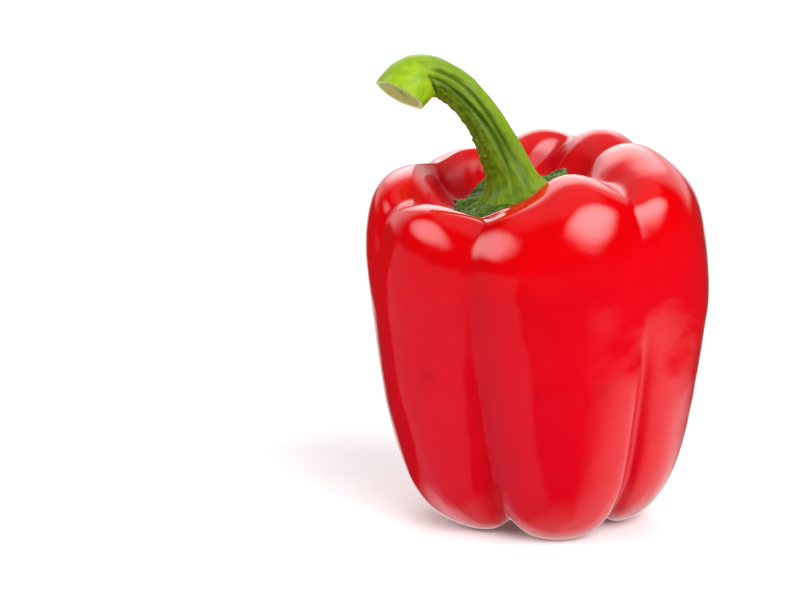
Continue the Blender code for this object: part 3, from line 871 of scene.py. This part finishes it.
class Graph:
    """The nodes of one material or of the world, with short calls for the steps used here."""

    def __init__(self, tree):
        self.nodes = tree.nodes
        self.link = tree.links.new
        self.shader = tree.nodes.get("Principled BSDF")

    def position(self):
        """The object's own coordinates, in metres."""
        return self.nodes.new("ShaderNodeTexCoord").outputs["Object"]

    def stored(self, name):
        """A number kept on the mesh."""
        attribute = self.nodes.new("ShaderNodeAttribute")
        attribute.attribute_name = name
        return attribute.outputs["Fac"]

    def noise(self, scale, detail=3.0, roughness=0.5):
        """Noise over the object's coordinates, from 0 to 1."""
        texture = self.nodes.new("ShaderNodeTexNoise")
        texture.inputs["Scale"].default_value = scale
        texture.inputs["Detail"].default_value = detail
        texture.inputs["Roughness"].default_value = roughness
        self.link(self.position(), texture.inputs["Vector"])
        return texture.outputs["Fac"]

    def ramp(self, value, low, high, bottom=0.0, top=1.0):
        """A smooth change from bottom to top as the value goes from low to high."""
        change = self.nodes.new("ShaderNodeMapRange")
        change.interpolation_type = "SMOOTHSTEP"
        change.inputs["From Min"].default_value = low
        change.inputs["From Max"].default_value = high
        change.inputs["To Min"].default_value = bottom
        change.inputs["To Max"].default_value = top
        self.link(value, change.inputs["Value"])
        return change.outputs["Result"]

    def arithmetic(self, operation, first, second=0.0):
        """One arithmetic step; either value may be a number or a socket."""
        step = self.nodes.new("ShaderNodeMath")
        step.operation = operation
        for socket, value in zip(step.inputs, (first, second)):
            if isinstance(value, (int, float)):
                socket.default_value = value
            else:
                self.link(value, socket)
        return step.outputs["Value"]

    def product(self, first, *others):
        """Several values multiplied."""
        for value in others:
            first = self.arithmetic("MULTIPLY", first, value)
        return first

    def brightest(self, first, *others):
        """The largest of several values."""
        for value in others:
            first = self.arithmetic("MAXIMUM", first, value)
        return first

    def mixed(self, share, first, second):
        """A colour mixed by share; either colour may be a tuple or a socket."""
        mix = self.nodes.new("ShaderNodeMix")
        mix.data_type = "RGBA"
        for key, value in (("A", first), ("B", second)):
            socket = next(entry for entry in mix.inputs if entry.type == "RGBA" and entry.name == key)
            if isinstance(value, tuple):
                socket.default_value = (*value, 1.0)
            else:
                self.link(value, socket)
        self.link(share, mix.inputs["Factor"])
        return next(entry for entry in mix.outputs if entry.type == "RGBA")

    def measure(self, operation, vector, other):
        """A number from a vector socket and a constant vector."""
        step = self.nodes.new("ShaderNodeVectorMath")
        step.operation = operation
        self.link(vector, step.inputs[0])
        step.inputs[1].default_value = other
        return step.outputs["Value"]

    def bump(self, height, strength, distance, normal=None):
        """A bumped normal, for relief that is a distance in millimetres high."""
        node = self.nodes.new("ShaderNodeBump")
        node.inputs["Strength"].default_value = strength
        node.inputs["Distance"].default_value = distance * MM
        self.link(height, node.inputs["Height"])
        if normal is not None:
            self.link(normal, node.inputs["Normal"])
        return node.outputs["Normal"]

    def look(self, colour, roughness, normal):
        """Links the three main looks to the shader."""
        self.link(colour, self.shader.inputs["Base Color"])
        self.link(roughness, self.shader.inputs["Roughness"])
        self.link(normal, self.shader.inputs["Normal"])


def new_material(name):
    """An empty node material and its graph."""
    material = bpy.data.materials.new(name)
    material.use_nodes = True
    return material, Graph(material.node_tree)


# ---------------------------------------------------------------- materials

def skin_point(tree, azimuth, height):
    """The point on the skin at an azimuth in degrees and a height in millimetres."""
    outward = direction_from(azimuth, 0.0)
    start = outward * MARK_RAY_START + Vector((0.0, 0.0, height * MM))
    return tree.ray_cast(start, -outward)[0]


def mark(graph, place, radius, strength):
    """Share of a blemish around a place on the skin, with a ragged edge."""
    away = graph.measure("DISTANCE", graph.position(), place)
    ragged = graph.product(graph.noise(*MARK_EDGES), radius * MM)
    edge = graph.arithmetic("ADD", away, ragged)
    return graph.ramp(edge, radius * MM * MARK_OUTER, radius * MM * MARK_INNER, 0.0, strength)


def skin_colour(graph, piece):
    """Ripe red, with a painted reflection tint low down and painted shade darkening the grooves, with the
    blemishes and the scar.
    """
    tree = BVHTree.FromObject(piece, bpy.context.evaluated_depsgraph_get())
    colour = graph.mixed(graph.ramp(graph.noise(*SKIN_CLOUDS), *NARROW_NOISE_RANGE), *SKIN_TONES)
    # Painted reflection: a bluish tint low down, standing in for the table's reflected light.
    colour = graph.mixed(graph.ramp(graph.stored("step"), *SKIN_LOW_TABLE_TINT_STEPS), colour, SKIN_LOW_TABLE_TINT)
    # Painted shade: darker skin in the deep grooves.
    colour = graph.mixed(graph.ramp(graph.stored("groove"), *SKIN_GROOVE_SHADE_DEPTHS), colour, SKIN_GROOVE_SHADE)
    marks = [mark(graph, skin_point(tree, azimuth, height), radius, strength)
             for azimuth, height, radius, strength in MARKS]
    colour = graph.mixed(graph.brightest(*marks), colour, MARK_COLOUR)
    dimple = Vector(in_frame((0.0, 0.0, LOWER_PROFILE[0][1])))
    return graph.mixed(mark(graph, dimple, SCAR_RADIUS, 1.0), colour, SCAR_COLOUR)


def skin_material(piece):
    """Waxy skin, with its shine turned down as painted shade low in its grooves and inside the well."""
    material, graph = new_material("pepper_skin")
    patches = graph.ramp(graph.noise(*SKIN_PATCHES), *NOISE_RANGE, *SKIN_ROUGHNESS)
    roughness = graph.arithmetic("ADD", patches, graph.ramp(graph.stored("step"), *SKIN_INSIDE))
    grain = graph.bump(graph.noise(*SKIN_GRAIN), *SKIN_GRAIN_BUMP)
    waves = graph.bump(graph.noise(*SKIN_WAVES), *SKIN_WAVES_BUMP, grain)
    graph.look(skin_colour(graph, piece), roughness, waves)
    # Painted shade on the gloss: less shine low in deep grooves and deep in the well.
    groove_gloss_shade = graph.product(graph.ramp(graph.stored("groove"), *GLOSS_SHADE_GROOVE_DEPTHS),
                               graph.ramp(graph.stored("step"), *GLOSS_SHADE_GROOVE_STEPS))
    gloss_shade_share = graph.brightest(groove_gloss_shade, graph.ramp(graph.stored("step"), *GLOSS_SHADE_WELL_STEPS))
    inputs = graph.shader.inputs
    graph.link(graph.ramp(gloss_shade_share, 0.0, 1.0, WAXY, SHADED_GLOSS), inputs["Specular IOR Level"])
    inputs["Sheen Weight"].default_value, inputs["Sheen Roughness"].default_value = SKIN_SHEEN
    inputs["Subsurface Weight"].default_value = SKIN_DEPTH
    inputs["Subsurface Radius"].default_value = SKIN_DEPTH_RADIUS
    inputs["Subsurface Scale"].default_value = SKIN_DEPTH_SCALE
    return material


def calyx_material():
    """Dark green, wrinkled leaf tissue, with a painted sheen on its raised folds, and paler near the stem."""
    material, graph = new_material("calyx_leaf")
    mottled = graph.noise(*CALYX_MOTTLE)
    colour = graph.mixed(graph.ramp(mottled, *CALYX_NOISE_RANGE), *CALYX_TONES)
    # Painted sheen on the raised folds.
    colour = graph.mixed(graph.ramp(graph.stored("fold"), *CALYX_FOLD_SHEEN_HEIGHTS), colour, CALYX_FOLD_SHEEN)
    colour = graph.mixed(graph.ramp(graph.stored("share"), *CALYX_CENTRE_SHARES), colour, CALYX_CENTRE_COLOUR)
    grain = graph.bump(graph.noise(*CALYX_GRAIN), *CALYX_GRAIN_BUMP)
    graph.look(colour, graph.ramp(mottled, *NOISE_RANGE, *CALYX_ROUGHNESS), grain)
    graph.shader.inputs["Specular IOR Level"].default_value = CALYX_SHINE
    return material


def rind_colour(graph, tone):
    """Green rind: painted shade in the furrows, paler on the warts, painted light on the lit outer side, lime
    at the thick end.
    """
    ragged = graph.product(graph.noise(*STEM_PATCHES), LIME_RAGGEDNESS)
    along = graph.arithmetic("ADD", graph.stored("place"), ragged)
    shaft = graph.mixed(tone, *SHAFT_TONES)
    colour = graph.mixed(graph.ramp(along, *LIME_SECTIONS), shaft, graph.mixed(tone, *LIME_TONES))
    for name, limits, other in (
            # Painted shade in the furrows.
            ("furrow", FURROW_SHADE_DEPTHS, FURROW_SHADE),
            ("bumps", WART_HEIGHTS, WART_COLOUR),
            # Painted light on the lit side.
            ("outer", LIT_SIDE_SHARES, LIT_SIDE_COLOUR)):
        colour = graph.mixed(graph.ramp(graph.stored(name), *limits), colour, other)
    return colour


def stem_material():
    """Green rind with a pale fibrous cut, which has a paler rim."""
    material, graph = new_material("stem_rind")
    mottled = graph.noise(*STEM_MOTTLE)
    cut = graph.stored("cut")
    pith = graph.mixed(graph.ramp(graph.noise(*STEM_FIBRES), *NARROW_NOISE_RANGE), *PITH_TONES)
    pith = graph.mixed(graph.ramp(cut, *PITH_RIM_SHARES), PITH_RIM_COLOUR, pith)
    rind = rind_colour(graph, graph.ramp(mottled, *NOISE_RANGE))
    colour = graph.mixed(graph.ramp(cut, *CUT_EDGE_SHARES), rind, pith)
    grain = graph.bump(graph.noise(*STEM_GRAIN), *STEM_GRAIN_BUMP)
    graph.look(colour, graph.ramp(mottled, *NOISE_RANGE, *STEM_ROUGHNESS), grain)
    graph.shader.inputs["Specular IOR Level"].default_value = STEM_SHINE
    return material


def floor_material():
    """Plain white table, lit a little from below."""
    material, graph = new_material("floor_white")
    for name, value in (
            ("Base Color", FLOOR_COLOUR),
            ("Roughness", FLOOR_ROUGHNESS),
            ("Specular IOR Level", FLOOR_SHINE),
            ("Emission Color", (*WHITE, 1.0)),
            ("Emission Strength", FLOOR_GLOW)):
        graph.shader.inputs[name].default_value = value
    return material


skin.data.materials.append(skin_material(skin))
calyx.data.materials.append(calyx_material())
stem.data.materials.append(stem_material())


# ---------------------------------------------------------------- floor, light and camera

def build_floor():
    """A plain white floor that catches the shadow; the gloss shows the room's own light in its place."""
    corners = [(-FLOOR_HALF, -FLOOR_HALF, 0), (FLOOR_HALF, -FLOOR_HALF, 0),
               (FLOOR_HALF, FLOOR_HALF, 0), (-FLOOR_HALF, FLOOR_HALF, 0)]
    mesh = bpy.data.meshes.new("floor")
    mesh.from_pydata(corners, [], [(0, 1, 2, 3)])
    floor = bpy.data.objects.new("floor", mesh)
    bpy.context.scene.collection.objects.link(floor)
    mesh.materials.append(floor_material())
    floor.visible_glossy = False


def soft_lamp(graph, direction, azimuth, elevation, half_width, half_height, radiance):
    """An oval light with soft edges, far off in the room."""
    centre = direction_from(azimuth, elevation)
    side = Vector((0.0, 0.0, 1.0)).cross(centre).normalized()
    total = 0.0
    for axis, half in ((side, half_width), (centre.cross(side), half_height)):
        facing = graph.measure("DOT_PRODUCT", direction, axis)
        off = graph.arithmetic("DIVIDE", facing, math.sin(math.radians(half)))
        total = graph.arithmetic("ADD", graph.product(off, off), total)
    lit = graph.ramp(total, LAMP_EDGE, LAMP_CORE, 0.0, radiance)
    return graph.product(lit, graph.ramp(graph.measure("DOT_PRODUCT", direction, centre), 0.0, LAMP_AHEAD))


def table_left(graph, across, ahead, down):
    """The shaded table to the left, from under the horizon down to the base."""
    return graph.product(
        graph.ramp(across, *LEFT_ACROSS),
        graph.ramp(ahead, *LEFT_AHEAD),
        graph.ramp(down, *LEFT_HORIZON, 0.0, TABLE_LEFT),
        graph.ramp(down, *LEFT_DEEPENING),
        graph.ramp(down, *LEFT_BOTTOM),
    )


def table_right(graph, across, ahead, down):
    """The bright table to the right, which reaches round to the far side."""
    round_back = graph.product(graph.arithmetic("MAXIMUM", ahead, 0.0), TABLE_ROUND_BACK)
    sideways = graph.arithmetic("ADD", across, round_back)
    return graph.product(
        graph.ramp(sideways, *RIGHT_RISE, TABLE_RIGHT_NEAR, TABLE_RIGHT_FAR),
        graph.ramp(sideways, *RIGHT_EDGE),
        graph.ramp(down, *RIGHT_HORIZON),
    )


def build_room():
    """Light by direction: soft lamps, a white wall behind, a table around and below, dark elsewhere.

    The gloss shows all of it, scattered light comes from the lamps and a soft glow, and the view sees white.
    """
    world = bpy.data.worlds.new("studio")
    bpy.context.scene.world = world
    world.use_nodes = True
    graph = Graph(world.node_tree)
    direction = graph.nodes.new("ShaderNodeTexCoord").outputs["Generated"]
    x, y, z = (graph.measure("DOT_PRODUCT", direction, axis) for axis in np.identity(3).tolist())
    level = graph.arithmetic("SQRT", graph.arithmetic("SUBTRACT", 1.0, graph.product(z, z)))
    across = graph.arithmetic("DIVIDE", x, level)
    ahead = graph.arithmetic("DIVIDE", y, level)
    beside = graph.arithmetic("ABSOLUTE", across)
    lamps = [soft_lamp(graph, direction, *lamp) for lamp in LAMPS]
    left = table_left(graph, across, ahead, z)
    shine = graph.brightest(
        *lamps,
        graph.product(graph.ramp(beside, *BACK_BESIDE, 0.0, BACK_BRIGHTNESS), graph.ramp(y, *BACK_AHEAD)),
        graph.product(graph.ramp(beside, *WALL_BESIDE, 0.0, WALL_BRIGHTNESS), graph.ramp(y, *WALL_AHEAD),
                      graph.ramp(z, *WALL_UP)),
        graph.ramp(z, *TOP_UP, 0.0, TOP_BRIGHTNESS),
        graph.ramp(z, *UNDER_DOWN, 0.0, TABLE_UNDER),
        graph.product(graph.ramp(z, *FAR_UNDER_DOWN, 0.0, TABLE_FAR_UNDER), graph.ramp(y, *FAR_UNDER_AHEAD)),
        left,
        table_right(graph, across, ahead, z),
        ROOM_DARK,
    )
    soft = graph.brightest(*lamps, graph.ramp(z, *SOFT_UP, SOFT_LOW, SOFT_HIGH))
    rays = graph.nodes.new("ShaderNodeLightPath")
    scattered = rays.outputs["Is Diffuse Ray"]
    apart = graph.arithmetic("SUBTRACT", soft, shine)
    both = graph.arithmetic("ADD", shine, graph.product(apart, scattered))
    tint = graph.product(left, graph.arithmetic("SUBTRACT", 1.0, scattered))
    background = graph.nodes["Background"]
    graph.link(graph.brightest(both, rays.outputs["Is Camera Ray"]), background.inputs["Strength"])
    colour = graph.mixed(graph.ramp(tint, 0.0, TABLE_LEFT), WHITE, TABLE_LEFT_TINT)
    graph.link(colour, background.inputs["Color"])


def build_camera():
    """A long lens from the front, a little above the object."""
    camera = bpy.data.cameras.new("camera")
    camera.lens = CAMERA_LENS
    camera.sensor_width = CAMERA_SENSOR
    camera.clip_start, camera.clip_end = CAMERA_NEAR, CAMERA_FAR
    rig = bpy.data.objects.new("camera", camera)
    rig.location = VIEW_CENTRE + direction_from(0.0, CAMERA_ELEVATION) * CAMERA_DISTANCE
    rig.rotation_euler = (math.radians(90.0 - CAMERA_ELEVATION), 0.0, 0.0)
    bpy.context.scene.collection.objects.link(rig)
    bpy.context.scene.camera = rig


build_floor()
build_room()
build_camera()
bpy.context.scene.view_settings.view_transform = "Standard"
